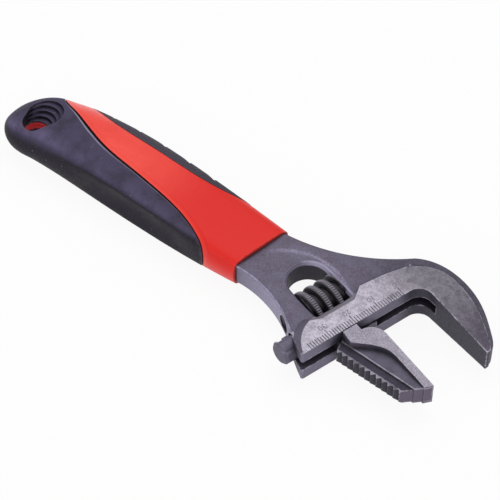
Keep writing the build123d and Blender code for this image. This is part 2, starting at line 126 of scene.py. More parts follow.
# Where the finish and the painted light and shade change on the forging: from and to, or low, high and
# softness
wall_facing = (0.6, 0.3)
ground_depth = in_mm(-0.12, -0.04)
tick_depth = in_mm(-0.18, -0.12, 0.02)
tick_jaws = in_mm(-4.5, -4.0)
jaw_back_slide = in_mm(-20, 4)
grip_side_jaws = in_mm(-40, -56)
near_wall_slide = in_mm(-34, -38)
near_wall_jaws = in_mm(-6, -12)
near_wall_paling = in_mm(-54, -24)
ring_edge = in_mm(-0.7, 0.7, 0.6)
ring_slide = in_mm(-34, -27)
ring_jaws = in_mm(-11, -14)
arch_edge = in_mm(0.3, 0.5, 0.1)
far_rim_edge = in_mm(-0.1, 1.5, 0.4)
far_rim_slide = in_mm(-27, -22)
window_wall = in_mm(0.4, 0.15)
corner_facing = (0.5, 0.8, 0.12)
corner_up = (half_neck - 0.02 * mm, half_neck - 0.1 * mm)
corner_window = in_mm(1.2, 1.6)
corner_slide = in_mm(-30, -34)
ground_fade = in_mm(-22, 4)
ground_dull = in_mm(2, 30)
front_strip_edge = in_mm(0.2, 3.3, 0.2)
front_strip_jaws = in_mm(-11.4, -11.2)
mouth_jaws = in_mm(-1.2, -0.8)
mouth_slide = in_mm(1.5, 0.8)
mouth_shade = in_mm(-12, -4)

# Where it changes on the sliding jaw and on the worm
jaw_wall_facing = (0.5, 0.3)
toothed_up = in_mm(3.6, 3.2)
tip_facing = (0.6, 0.8)
ledge_up = in_mm(3.2, 3.7, 0.1)
bevel_facing = (0.55, 0.85, 0.1)
bevel_up = in_mm(3.15, 3.05)
border_edge = in_mm(0.0, 0.5, 0.1)
border_up = in_mm(3.5, 3.9, 0.1)
teeth_facing = (-0.5, -0.75)
teeth_up = in_mm(2.95, 2.85)
rack_jaws = in_mm(-2.5, -4.2)
ridge_radius = (worm_radius - 0.22 * mm, worm_radius - 0.12 * mm)
crest_radius = (worm_radius - 1.0 * mm, worm_radius - 0.4 * mm)

# Where it changes on the grip; the lip and the groove are in groove widths from the seam
seam_slope = in_mm(2.6, 0.2)
seam_cut = in_mm(0.25, 0.05)
red_front = in_mm(35, 74)
sheen_facing = (0.3, 0.9)
sheen_along = in_mm(50, -2)
hole_edge = in_mm(6.0, 6.5)
lip_gap = (-2.0, -1.25, 0.3)
lip_start = in_mm(0, 10)
lip_fade = in_mm(40, 18)
groove_near = (-1.1, -0.9)
groove_far = (0.6, 0.4)
strip_away = in_mm(2, 4)
top_facing = (0.35, 0.85)
shoulder_facing = (-0.55, -0.22, 0.15)
tail_along = in_mm(30, -4)
bloom_and_sheen_along = in_mm(85, 40)
funnel_centre = in_mm(0, 4, 0)
funnel_edge = in_mm(13, 15)

# Scales of patches, grain and flecks, and the wear's reach, the depth of the dirt and painted shade, and the
# breakup, of each finish
forging_spots = (150.0, 1900.0, 520.0)
forging_wear = (0.6 * mm, 5.0 * mm, 500.0)
jaw_spots = (200.0, 2100.0, 600.0)
jaw_wear = (0.6 * mm, 4.0 * mm, 500.0)
oiled_spots = (300.0, 2600.0, 900.0)
oiled_wear = (0.4 * mm, 3.0 * mm, 1200.0)
red_spots = (60.0, 2200.0, 380.0)
red_wear = (0.8 * mm, 2.2 * mm, 700.0)
rubber_spots = (130.0, 1500.0, 300.0)
rubber_wear = (0.9 * mm, 4.0 * mm, 600.0)
ink_spots = (700.0, 3000.0, 900.0)
ink_wear = (0.1 * mm, 1.0 * mm, 2000.0)
fleck_clusters = 70.0
corner_breakup = 520.0
pit_scale = 950.0
blotch_scale = 300.0

# Stage: the floor, the surround, and two softboxes placed from the middle of the wrench
floor_gap = 0.1 * mm
floor_size = 6.0
floor_glow = 0.92
paper_white = 0.86
surround_light = 0.5
overhead_offset = Vector((-0.15, 0.25, 0.7))
overhead_size = (0.9, 0.6)
overhead_watts = 3.0
near_fill_offset = Vector((0.15, -0.6, 0.3))
near_fill_size = (0.8, 0.4)
near_fill_watts = 1.6

# Camera, as the photograph was taken
camera_place = Vector((368.054, -334.735, 521.581)) * mm
camera_view = Vector((-0.40425, 0.50021, -0.76575))
camera_lens = 144.97
camera_sensor = 36.0
camera_near = 10 * mm


def head_place(j, s, z):
    # A point given along the jaws, along the slide and up, from the throat corner
    return throat + along_jaws * j + along_slide * s + upward * z


def placed(x_dir, y_dir, origin):
    # Matrix that sets a piece's own axes and origin into the wrench
    x_dir, y_dir = Vector(x_dir), Vector(y_dir)
    turned = Matrix((x_dir, y_dir, x_dir.cross(y_dir))).transposed()
    return Matrix.Translation(origin) @ turned.to_4x4()


# Helpers for modelling
def edit(piece):
    # Opens a piece for editing, alone
    bpy.ops.object.select_all(action="DESELECT")
    piece.select_set(True)
    bpy.context.view_layer.objects.active = piece
    bpy.ops.object.mode_set(mode="EDIT")


def select_points(piece, wanted):
    # Selects the points of a piece that answer to a rule
    bpy.ops.mesh.select_mode(type="VERT")
    bpy.ops.mesh.select_all(action="DESELECT")
    bpy.ops.object.mode_set(mode="OBJECT")
    for point in piece.data.vertices:
        point.select = wanted(point.co)
    bpy.ops.object.mode_set(mode="EDIT")


def apply_modifier(piece, kind, **settings):
    bpy.ops.object.modifier_add(type=kind)
    made = piece.modifiers[-1]
    for name, value in settings.items():
        setattr(made, name, value)
    bpy.ops.object.modifier_apply(modifier=made.name)


def settle(piece, matrix):
    # Puts a finished piece in its place, with the place kept in the mesh
    bpy.ops.object.select_all(action="DESELECT")
    piece.select_set(True)
    bpy.context.view_layer.objects.active = piece
    piece.matrix_world = matrix
    bpy.ops.object.transform_apply(location=True, rotation=True, scale=True)


def bore(piece, radius, low, high):
    # Drills a round hole along the piece's own axis
    bpy.ops.object.select_all(action="DESELECT")
    middle = (0, 0, (low + high) / 2)
    bpy.ops.mesh.primitive_cylinder_add(vertices=64, radius=radius, depth=high - low, location=middle)
    drill = bpy.context.active_object
    bpy.ops.object.select_all(action="DESELECT")
    piece.select_set(True)
    bpy.context.view_layer.objects.active = piece
    apply_modifier(piece, "BOOLEAN", operation="DIFFERENCE", solver="EXACT", object=drill)
    bpy.data.objects.remove(drill, do_unlink=True)


def model_worm():
    # Worm with a knurled crest: its profile drawn point by point and wound along the thread
    turns = 6
    first = -turns / 2 * thread_pitch
    foot = crest_width / 2 + flank_run
    crown = [(worm_radius - depth * mm, half * mm) for depth, half in crest_crown]
    profile = [(worm_root, -thread_pitch / 2), (worm_root, -foot)]
    profile += [(radius, -half) for radius, half in crown]
    profile += [(radius, half) for radius, half in reversed(crown)]
    profile += [(worm_root, foot), (worm_root, thread_pitch / 2)]
    bpy.ops.object.select_all(action="DESELECT")
    bpy.ops.mesh.primitive_plane_add(size=crest_width)
    worm = bpy.context.active_object
    worm.name = "knurled_worm"
    edit(worm)
    bpy.ops.mesh.select_all(action="SELECT")
    bpy.ops.mesh.merge(type="CENTER")
    bpy.ops.transform.translate(value=(profile[0][0], 0, profile[0][1] + first))
    for here, there in zip(profile, profile[1:]):
        step = (there[0] - here[0], 0, there[1] - here[1])
        bpy.ops.mesh.extrude_vertices_move(TRANSFORM_OT_translate={"value": step})
    bpy.ops.object.mode_set(mode="OBJECT")
    steps = 4 * knurl_teeth
    winding = {"axis": "Z", "screw_offset": thread_pitch, "iterations": turns}
    apply_modifier(worm, "SCREW", steps=steps, render_steps=steps, **winding)

    # Ends cut square
    edit(worm)
    bpy.ops.mesh.select_all(action="SELECT")
    bpy.ops.mesh.remove_doubles(threshold=0.01 * mm)
    for side in (1, -1):
        bpy.ops.mesh.select_all(action="SELECT")
        bpy.ops.mesh.bisect(
            plane_co=(0, 0, side * worm_length / 2),
            plane_no=(0, 0, side),
            use_fill=True,
            clear_outer=True,
        )

    # Two rows in every four of the crown pressed in for the knurl
    def in_valley(point):
        row = round(atan2(point.y, point.x) * steps / (2 * pi))
        return hypot(point.x, point.y) > worm_radius - knurl_reach and row % 4 > 1

    select_points(worm, in_valley)
    share = 1 - knurl_depth / worm_radius
    bpy.ops.transform.resize(value=(share, share, 1), center_override=(0, 0, 0))
    bpy.ops.mesh.select_all(action="SELECT")
    bpy.ops.mesh.normals_make_consistent(inside=False)
    bpy.ops.object.mode_set(mode="OBJECT")
    bore(worm, pin_bore, -worm_length, worm_length)
    bore(worm, spring_bore, -worm_length, spring_room - worm_length / 2)
    bpy.ops.object.shade_smooth_by_angle(angle=radians(24))
    settle(worm, placed(along_jaws, -upward, head_place(-worm_depth, window_centre, 0)))
    return worm


def model_number(mark):
    # Number beside a long tick of the scale
    bpy.ops.object.select_all(action="DESELECT")
    bpy.ops.object.text_add()
    number = bpy.context.active_object
    number.name = "scale_number_" + str(mark * 10)
    number.data.body = str(mark * 10)
    number.data.align_x = "CENTER"
    number.data.align_y = "CENTER"
    number.data.size = number_size
    number.data.extrude = number_relief
    number.data.resolution_u = 4
    bpy.ops.object.convert(target="MESH")
    number = bpy.context.active_object
    middle = head_place(number_line, scale_zero + mark * scale_step, half_head)
    settle(number, placed(-along_slide, along_jaws, middle))
    return number


# Helpers for shader trees
def add(tree, kind, inputs=None, **settings):
    made = tree.nodes.new("ShaderNode" + kind)
    for name, value in settings.items():
        setattr(made, name, value)
    fill(tree, made, inputs or {})
    return made


def fill(tree, made, inputs):
    # Links or sets the inputs of a node
    for name, value in inputs.items():
        if isinstance(value, bpy.types.NodeSocket):
            tree.links.new(value, made.inputs[name])
        else:
            made.inputs[name].default_value = value


def calc(tree, operation, first, second=0.0):
    return add(tree, "Math", {0: first, 1: second}, operation=operation).outputs[0]


def times(tree, first, second):
    return calc(tree, "MULTIPLY", first, second)


def vector_calc(tree, operation, first, second, output=0):
    return add(tree, "VectorMath", {0: first, 1: second}, operation=operation).outputs[output]


def parts_of(tree, vector):
    return add(tree, "SeparateXYZ", {0: vector}).outputs


def length(tree, vector):
    return add(tree, "VectorMath", {0: vector}, operation="LENGTH").outputs["Value"]


def distance(tree, vector, point):
    return vector_calc(tree, "DISTANCE", vector, point, "Value")


def share_along(tree, vector, direction):
    return vector_calc(tree, "DOT_PRODUCT", vector, direction, "Value")


def blend(tree, factor, first, second, mode="MIX"):
    made = add(tree, "Mix", {0: factor, 6: first, 7: second}, data_type="RGBA", blend_type=mode)
    return made.outputs[2]


def remap(tree, value, low, high, out_low=0.0, out_high=1.0, kind="SMOOTHSTEP"):
    inputs = {"Value": value, "From Min": low, "From Max": high, "To Min": out_low, "To Max": out_high}
    return add(tree, "MapRange", inputs, interpolation_type=kind).outputs["Result"]


def band(tree, value, low, high, soft):
    # One between low and high, falling to nothing on both sides
    rising = remap(tree, value, low - soft, low + soft)
    return times(tree, rising, remap(tree, value, high + soft, high - soft))


def masked(tree, value, *limits):
    # A mask held by ramps, each rising as another value goes from its first limit to its second
    for other, span in limits:
        value = times(tree, value, remap(tree, other, *span))
    return value


def cover(tree, color, mask, amount, over):
    # A colour laid over another, by an amount of a mask
    return blend(tree, times(tree, mask, amount), color, over)


def darken(tree, color, mask, amount, by):
    # A colour multiplied by another, by an amount of a mask
    return blend(tree, times(tree, mask, amount), color, by, "MULTIPLY")


def noise(tree, vector, scale, detail=3.0, roughness=0.55):
    inputs = {"Vector": vector, "Scale": scale, "Detail": detail, "Roughness": roughness}
    return add(tree, "TexNoise", inputs).outputs["Fac"]


def grey(value, tint=(1.0, 1.0, 1.0)):
    return (value * tint[0], value * tint[1], value * tint[2], 1.0)


def new_group(name, inputs, outputs):
    group = bpy.data.node_groups.new(name, "ShaderNodeTree")
    for label, kind, value in inputs:
        socket = group.interface.new_socket(label, in_out="INPUT", socket_type="NodeSocket" + kind)
        if value is not None:
            socket.default_value = value
    for label, kind in outputs:
        group.interface.new_socket(label, in_out="OUTPUT", socket_type="NodeSocket" + kind)
    start = group.nodes.new("NodeGroupInput").outputs
    end = group.nodes.new("NodeGroupOutput").inputs
    return group, start, end


def give(group, end, **results):
    # Links results to the outputs of a group
    for name, value in results.items():
        group.links.new(value, end[name])


def place_group(tree, group, **inputs):
    made = tree.nodes.new("ShaderNodeGroup")
    made.node_tree = group
    fill(tree, made, inputs)
    return made.outputs


def worn_edges_group():
    # Rubbed outer edges, and dirt with painted shade kept in inner corners
    inputs = (
        ("Vector", "Vector", None),
        ("Reach", "Float", 0.6 * mm),
        ("Depth", "Float", 4.0 * mm),
        ("Breakup", "Float", 600.0),
    )
    group, start, end = new_group("edge_wear_and_shade", inputs, (("Rubbed", "Float"), ("Dirt", "Float")))
    reach = {"Distance": start["Reach"]}
    inner = add(group, "AmbientOcclusion", reach, samples=8, inside=True, only_local=True)
    outer = add(group, "AmbientOcclusion", {"Distance": start["Depth"]}, samples=8)
    broken = noise(group, start["Vector"], start["Breakup"], 4.0, 0.65)
    edge = remap(group, inner.outputs["AO"], 0.92, 0.62)
    give(group, end, Rubbed=times(group, edge, remap(group, broken, 0.38, 0.62)))
    give(group, end, Dirt=remap(group, outer.outputs["AO"], 0.97, 0.4))
    return group


def mottle_group():
    # Uneven finish at three scales: broad patches, fine grain and scattered flecks
    inputs = (
        ("Vector", "Vector", None),
        ("Patch", "Float", 120.0),
        ("Grain", "Float", 1600.0),
        ("Fleck", "Float", 420.0),
    )
    outputs = (("Patches", "Float"), ("Grain", "Float"), ("Flecks", "Float"), ("Height", "Float"))
    group, start, end = new_group("mottle", inputs, outputs)
    patches = remap(group, noise(group, start["Vector"], start["Patch"], 5.0, 0.65), 0.32, 0.68)
    grain = remap(group, noise(group, start["Vector"], start["Grain"], 3.0, 0.7), 0.3, 0.7)
    cells = add(group, "TexVoronoi", {"Vector": start["Vector"], "Scale": start["Fleck"], "Randomness": 1.0})
    flecks = remap(group, cells.outputs["Distance"], 0.13, 0.05)
    flecks = times(group, flecks, remap(group, noise(group, start["Vector"], fleck_clusters), 0.48, 0.62))
    give(group, end, Patches=patches, Grain=grain, Flecks=flecks)
    give(group, end, Height=calc(group, "ADD", grain, times(group, patches, 0.3)))
    return group


def relief_group():
    # Surface normal with softened edges and a fine relief
    inputs = (("Height", "Float", 0.0), ("Depth", "Float", 0.05 * mm), ("Radius", "Float", 0.3 * mm))
    group, start, end = new_group("relief", inputs, (("Normal", "Vector"),))
    soft = add(group, "Bevel", {"Radius": start["Radius"]}, samples=4).outputs[0]
    bump = add(group, "Bump", {"Height": start["Height"], "Distance": start["Depth"], "Normal": soft})
    give(group, end, Normal=bump.outputs["Normal"])
    return group


def head_frame_group():
    # Places on the head: along the jaws and the slide, ground faces, and the way out from the window
    inputs = (("Vector", "Vector", None), ("Half", "Float", half_head))
    outputs = [(label, "Float") for label in ("Jaws", "Slide", "Ground", "Tick", "Window")]
    group, start, end = new_group("head_frame", inputs, outputs)
    away = vector_calc(group, "SUBTRACT", start["Vector"], throat)
    jaws = share_along(group, away, along_jaws)
    slide = share_along(group, away, along_slide)
    up = parts_of(group, start["Vector"])["Z"]
    drop = times(group, calc(group, "MAXIMUM", jaws, 0.0), tan(jaw_taper))
    level = calc(group, "SUBTRACT", start["Half"], drop)
    over = calc(group, "SUBTRACT", calc(group, "ABSOLUTE", up), level)
    behind = calc(group, "MINIMUM", calc(group, "SUBTRACT", jaws, window_back), 0.0)
    beside = calc(group, "SUBTRACT", slide, window_centre)
    around = add(group, "CombineXYZ", {0: behind, 1: beside}).outputs[0]
    outward = calc(group, "SUBTRACT", length(group, around), window_half)
    forward = calc(group, "SUBTRACT", jaws, window_front)
    give(group, end, Jaws=jaws, Slide=slide, Ground=remap(group, over, *ground_depth))
    tick = masked(group, band(group, over, *tick_depth), (jaws, tick_jaws))
    give(group, end, Tick=tick, Window=calc(group, "MAXIMUM", outward, forward))
    return group


def grip_seam_group():
    # Distance from the seam across the grip, red side above nothing, and the same in groove widths
    outputs = (("Away", "Float"), ("Gap", "Float"))
    group, start, end = new_group("grip_seam", (("Vector", "Vector", None),), outputs)
    place = parts_of(group, start["Vector"])
    first, last = seam_line[0], seam_line[-1]
    along = remap(group, place["X"], first[0] * mm, last[0] * mm, kind="LINEAR")
    line = add(group, "FloatCurve", {"Value": along})
    points = line.mapping.curves[0].points
    points[0].location = (0, 1)
    points[1].location = (1, 0)
    for x, y in seam_line[1:-1]:
        points.new((x - first[0]) / (last[0] - first[0]), (y - last[1]) / (first[1] - last[1]))
    line.mapping.update()
    edge = remap(group, line.outputs[0], 0.0, 1.0, last[1] * mm, first[1] * mm, kind="LINEAR")
    away = calc(group, "SUBTRACT", place["Y"], edge)
    groove = remap(group, along, 0.0, 1.0, *groove_width, "LINEAR")
    groove = times(group, groove, remap(group, along, 0.0, groove_opening, groove_start, 1.0, "LINEAR"))
    give(group, end, Away=away, Gap=calc(group, "DIVIDE", away, groove))
    return group


edge_wear_and_shade = worn_edges_group()
mottle = mottle_group()
relief = relief_group()
head_frame = head_frame_group()
grip_seam = grip_seam_group()


def start_material(name, metallic, specular):
    material = bpy.data.materials.new(name)
    material.use_nodes = True
    tree = material.node_tree
    shader = tree.nodes["Principled BSDF"]
    shader.inputs["Metallic"].default_value = metallic
    shader.inputs["Specular IOR Level"].default_value = specular
    return material, tree, shader, add(tree, "TexCoord").outputs


def finish_skin(tree, vector, spots, worn):
    # Uneven finish of a material, and its wear with dirt and painted shade
    patch, grain, fleck = spots
    skin = place_group(tree, mottle, Vector=vector, Patch=patch, Grain=grain, Fleck=fleck)
    reach, depth, breakup = worn
    wear_and_shade = place_group(tree, edge_wear_and_shade, Vector=vector, Reach=reach, Depth=depth, Breakup=breakup)
    return skin, wear_and_shade


def finish_material(tree, shader, color, roughness, height, depth, radius):
    # Colour, roughness and relief led to the shader; depth and edge radius in millimetres
    normal = place_group(tree, relief, Height=height, Depth=depth * mm, Radius=radius * mm)["Normal"]
    tree.links.new(color, shader.inputs["Base Color"])
    tree.links.new(roughness, shader.inputs["Roughness"])
    tree.links.new(normal, shader.inputs["Normal"])


# Phosphate coat and bare steel lean to violet
steel_tint = (0.98, 0.89, 1.27)
patch_tint = (1.0, 0.8, 1.15)
bare_tint = (1.0, 0.925, 1.1)

# Forging: coat, rubbed and bare steel, painted light and shade, and what darkens it
coat_low = grey(0.1, patch_tint)
coat_high = grey(0.138, steel_tint)
coat_grain = grey(0.21, steel_tint)
jaw_back_shade = grey(0.7)
grip_side_coat = grey(0.22, patch_tint)
near_wall_painted_light = grey(0.37, steel_tint)
ring_painted_highlight = grey(0.38, steel_tint)
window_rim_highlight = grey(0.4, steel_tint)
window_wall_shade = grey(0.034, steel_tint)
corner_wear_and_highlight = grey(0.5, steel_tint)
lip_steel = grey(0.68, bare_tint)
fixed_jaw_steel = grey(0.275, bare_tint)
jaw_end_shade = grey(0.47, bare_tint)
grain_shade = grey(0.62)
pit_shade = grey(0.62)
blotch_shade = grey(0.66)
patch_shade = grey(0.74)
ground_fleck = grey(0.14, bare_tint)
front_strip_painted_light = grey(0.36, bare_tint)
mouth_shade_near = grey(0.2, steel_tint)
mouth_shade_far = grey(0.045, steel_tint)
forging_rubbed = grey(0.6, bare_tint)
forging_dirt_and_shade = grey(0.012, steel_tint)
tick_grey = grey(0.17, bare_tint)

# Sliding jaw, with painted highlights on its lines and painted shade on the teeth's flanks
jaw_coat_low = grey(0.085, steel_tint)
jaw_coat_high = grey(0.14, steel_tint)
toothed_shade = grey(0.31, bare_tint)
tip_coat = grey(0.15, patch_tint)
jaw_line_highlight = grey(0.42, bare_tint)
teeth_flank_shade = grey(0.03, steel_tint)
jaw_rim_low = grey(0.27, bare_tint)
jaw_rim_high = grey(0.46, bare_tint)
jaw_rim_shade = grey(0.64, bare_tint)
jaw_rim_fleck = grey(0.7, bare_tint)
rack_oil = grey(0.17, steel_tint)
jaw_rubbed = grey(0.5, bare_tint)
jaw_dirt_and_shade = grey(0.010, bare_tint)

# Worm, pin and spring, whose dirt also holds painted shade, and the fill of the numbers
oiled_low = grey(0.045, bare_tint)
oiled_high = grey(0.075, bare_tint)
crest_steel = grey(0.15, bare_tint)
oiled_dirt_and_shade = grey(0.015)
oiled_rubbed = grey(0.3, bare_tint)
ridge_steel = grey(0.3, bare_tint)
ink_low = grey(0.13, bare_tint)
ink_high = grey(0.28, bare_tint)
ink_rubbed = grey(0.3, bare_tint)

# Red plastic, with painted shade at the front and by the seam, painted highlights down the slope and in the
# hang hole, and a painted sheen
red_low = (0.84, 0.06, 0.045, 1)
red_high = (0.92, 0.085, 0.064, 1)
red_front_shade = (0.74, 0.020, 0.015, 1)
red_slope_highlight = (1.0, 0.075, 0.052, 1)
red_fleck = (0.45, 0.014, 0.012, 1)
red_sheen = (0.95, 0.36, 0.36, 1)
red_rubbed = (0.95, 0.14, 0.11, 1)
red_dirt_and_shade = (0.10, 0.004, 0.004, 1)
red_hole_light = (1.0, 0.07, 0.08, 1)
red_seam_shade = (0.02, 0.002, 0.002, 1)

# Black rubber, with a painted sheen in its bloom, painted highlights on the shoulder and the lip, and
# painted shade in the groove
rubber_low = (0.011, 0.009, 0.013, 1)
rubber_high = (0.017, 0.014, 0.021, 1)
rubber_bloom_and_sheen = (0.080, 0.066, 0.13, 1)
rubber_shoulder_highlight = (0.15, 0.12, 0.23, 1)
rubber_grain = (0.09, 0.08, 0.12, 1)
far_strip_rubber = (0.062, 0.056, 0.066, 1)
rubber_lip_highlight = (0.30, 0.28, 0.38, 1)
rubber_dust = (0.20, 0.18, 0.24, 1)
rubber_rubbed = (0.11, 0.10, 0.135, 1)
rubber_dirt_and_shade = (0.003, 0.003, 0.005, 1)
groove_shade = (0.003, 0.003, 0.004, 1)


def forged_steel():
    # Dark coat on the forging, ground faces, a painted highlight round the window and painted light on the
    # near wall
    material, tree, shader, coords = start_material("forged_steel", 0.5, 0.35)
    vector = coords["Object"]
    skin, wear_and_shade = finish_skin(tree, vector, forging_spots, forging_wear)
    place = place_group(tree, head_frame, Vector=vector, Half=half_head)
    jaws, slide, window = place["Jaws"], place["Slide"], place["Window"]
    facing = calc(tree, "ABSOLUTE", parts_of(tree, coords["Normal"])["Z"])
    wall = remap(tree, facing, *wall_facing)
    level = remap(tree, wall, 0.9, 0.1)

    # Coat, darker on the fixed jaw's back, paler by the grip, and with painted light along the neck's near
    # wall
    color = blend(tree, skin["Patches"], coat_low, coat_high)
    color = cover(tree, color, skin["Grain"], 0.42, coat_grain)
    color = blend(tree, remap(tree, slide, *jaw_back_slide), color, jaw_back_shade, "MULTIPLY")
    color = blend(tree, remap(tree, jaws, *grip_side_jaws, 0.0, 0.5), color, grip_side_coat)
    near_wall = masked(tree, wall, (slide, near_wall_slide), (jaws, near_wall_jaws))
    paler = remap(tree, jaws, *near_wall_paling, 0.2, 0.9)
    paler = times(tree, paler, remap(tree, skin["Grain"], 0.0, 1.0, 0.7, 1.0))
    color = cover(tree, color, near_wall, paler, near_wall_painted_light)

    # Painted highlight: a bright ring behind the window
    around = add(tree, "CombineXYZ", {0: jaws, 1: slide}).outputs[0]
    ring = calc(tree, "SUBTRACT", distance(tree, around, (*ring_centre, 0.0)), ring_radius)
    ring = masked(tree, band(tree, ring, *ring_edge), (slide, ring_slide), (jaws, ring_jaws))
    ring = times(tree, ring, remap(tree, skin["Grain"], 0.0, 0.9, 0.3, 1.0))
    color = cover(tree, color, ring, 0.6, ring_painted_highlight)

    # Window: painted highlights on its edges and painted shade on its inner wall
    arch = times(tree, band(tree, window, *arch_edge), 0.5)
    far_rim = times(tree, band(tree, window, *far_rim_edge), remap(tree, slide, *far_rim_slide, 0.0, 0.75))
    rim = times(tree, calc(tree, "MAXIMUM", arch, far_rim), level)
    color = blend(tree, rim, color, window_rim_highlight)
    inside = masked(tree, wall, (window, window_wall))
    color = cover(tree, color, inside, 0.95, window_wall_shade)

    # Bright line along the neck's near corner: worn edge and painted highlight
    up = calc(tree, "ABSOLUTE", parts_of(tree, vector)["Z"])
    corner = masked(
        tree,
        band(tree, facing, *corner_facing),
        (up, corner_up),
        (window, corner_window),
        (slide, corner_slide),
    )
    corner = times(tree, corner, remap(tree, noise(tree, vector, corner_breakup), 0.36, 0.6, 0.4, 0.85))
    color = blend(tree, corner, color, corner_wear_and_highlight)

    # Ground face, brightest along the slide lip and duller out to the fixed jaw's tip
    fade = remap(tree, slide, *ground_fade)
    bare = blend(tree, fade, lip_steel, fixed_jaw_steel)
    dull = remap(tree, jaws, *ground_dull, 0.0, 0.95)
    bare = darken(tree, bare, dull, fade, jaw_end_shade)
    bare = darken(tree, bare, skin["Grain"], 0.5, grain_shade)
    pitted = remap(tree, noise(tree, vector, pit_scale, 4.0, 0.75), 0.36, 0.66, 0.0, 0.75)
    bare = blend(tree, pitted, bare, pit_shade, "MULTIPLY")
    blotches = remap(tree, noise(tree, vector, blotch_scale, 4.0, 0.7), 0.42, 0.66, 0.0, 0.7)
    bare = blend(tree, blotches, bare, blotch_shade, "MULTIPLY")
    bare = darken(tree, bare, skin["Patches"], 0.5, patch_shade)
    bare = cover(tree, bare, skin["Flecks"], 0.6, ground_fleck)
    color = blend(tree, place["Ground"], color, bare)

    # Painted light on the strip between the window and the ground face, and painted shade on the walls of
    # the mouth
    strip = masked(tree, band(tree, window, *front_strip_edge), (jaws, front_strip_jaws))
    strip = times(tree, masked(tree, strip, (place["Ground"], (1.0, 0.0))), level)
    color = cover(tree, color, strip, 0.7, front_strip_painted_light)
    mouth = masked(tree, wall, (jaws, mouth_jaws), (slide, mouth_slide))
    shade = blend(tree, remap(tree, slide, *mouth_shade), mouth_shade_near, mouth_shade_far)
    color = cover(tree, color, mouth, 0.85, shade)

    # Rubbed edges, dirt with painted shade in the corners, and the grey floors of the ticks
    color = cover(tree, color, wear_and_shade["Rubbed"], 0.8, forging_rubbed)
    color = cover(tree, color, wear_and_shade["Dirt"], 0.8, forging_dirt_and_shade)
    color = cover(tree, color, place["Tick"], 0.9, tick_grey)
    rough = remap(tree, skin["Grain"], 0.0, 1.0, 0.62, 0.46, "LINEAR")
    finish_material(tree, shader, color, rough, skin["Height"], 0.05, 0.3)
    return material


def jaw_steel():
    # Sliding jaw: bare rim, darker pocket and teeth, painted highlights and shade, and an oiled rack
    material, tree, shader, coords = start_material("jaw_steel", 0.5, 0.35)
    vector = coords["Object"]
    skin, wear_and_shade = finish_skin(tree, vector, jaw_spots, jaw_wear)
    place = place_group(tree, head_frame, Vector=vector, Half=half_jaw)
    jaws, slide = place["Jaws"], place["Slide"]
    up = calc(tree, "ABSOLUTE", parts_of(tree, vector)["Z"])
    facing = calc(tree, "ABSOLUTE", parts_of(tree, coords["Normal"])["Z"])
    wall = remap(tree, facing, *jaw_wall_facing)

    # Coat, darker on the toothed plate, and the tip's end wall
    color = blend(tree, skin["Patches"], jaw_coat_low, jaw_coat_high)
    color = cover(tree, color, skin["Grain"], 0.4, jaw_coat_high)
    color = darken(tree, color, remap(tree, up, *toothed_up), 0.85, toothed_shade)
    tip = masked(tree, wall, (share_along(tree, coords["Normal"], along_jaws), tip_facing))
    color = cover(tree, color, tip, 0.8, tip_coat)

    # Painted highlights: bright lines on the ledge with the pocket floor's border, and on the toothed
    # plate's bevel
    ledge = times(tree, wall, band(tree, up, *ledge_up))
    bevel = masked(tree, band(tree, facing, *bevel_facing), (up, bevel_up))
    rise = times(tree, calc(tree, "SUBTRACT", jaws, ledge_root[0]), ledge_slope)
    border = calc(tree, "SUBTRACT", slide, calc(tree, "ADD", rise, ledge_root[1]))
    border = times(tree, band(tree, border, *border_edge), band(tree, up, *border_up))
    line = calc(tree, "MAXIMUM", calc(tree, "MAXIMUM", ledge, bevel), border)
    line = times(tree, line, remap(tree, skin["Patches"], -0.4, 1.0))
    color = cover(tree, color, line, 0.8, jaw_line_highlight)

    # Painted shade on the flanks of the teeth that face back along the slide
    teeth = remap(tree, share_along(tree, coords["Normal"], along_slide), *teeth_facing)
    teeth = times(tree, wall, masked(tree, teeth, (up, teeth_up)))
    color = cover(tree, color, teeth, 0.7, teeth_flank_shade)

    # Bare rim, oiled rack, rubbed edges, and dirt with painted shade
    bare = blend(tree, skin["Grain"], jaw_rim_low, jaw_rim_high)
    bare = darken(tree, bare, skin["Patches"], 0.4, jaw_rim_shade)
    bare = cover(tree, bare, skin["Flecks"], 0.6, jaw_rim_fleck)
    color = blend(tree, place["Ground"], color, bare)
    color = cover(tree, color, remap(tree, jaws, *rack_jaws), 0.6, rack_oil)
    color = cover(tree, color, wear_and_shade["Rubbed"], 0.7, jaw_rubbed)
    color = cover(tree, color, wear_and_shade["Dirt"], 0.75, jaw_dirt_and_shade)
    rough = remap(tree, skin["Grain"], 0.0, 1.0, 0.6, 0.45, "LINEAR")
    finish_material(tree, shader, color, rough, skin["Height"], 0.05, 0.3)
    return material


def worm_steel():
    # Black oiled steel of the worm, its pin and its spring, bright where fingers rub the knurl
    material, tree, shader, coords = start_material("worm_steel", 0.6, 0.4)
    vector = coords["Object"]
    skin, wear_and_shade = finish_skin(tree, vector, oiled_spots, oiled_wear)
    away = vector_calc(tree, "SUBTRACT", vector, head_place(-worm_depth, window_centre, 0))
    across = vector_calc(tree, "CROSS_PRODUCT", away, along_slide)
    radius = length(tree, across)
    color = blend(tree, skin["Patches"], oiled_low, oiled_high)
    color = cover(tree, color, remap(tree, radius, *crest_radius), 0.8, crest_steel)
    # Dirt with painted shade in the hollows, and rubbed edges
    color = cover(tree, color, wear_and_shade["Dirt"], 0.4, oiled_dirt_and_shade)
    color = cover(tree, color, wear_and_shade["Rubbed"], 0.45, oiled_rubbed)
    color = cover(tree, color, remap(tree, radius, *ridge_radius), 0.7, ridge_steel)
    rough = remap(tree, skin["Patches"], 0.0, 1.0, 0.34, 0.5)
    finish_material(tree, shader, color, rough, skin["Height"], 0.03, 0.1)
    return material


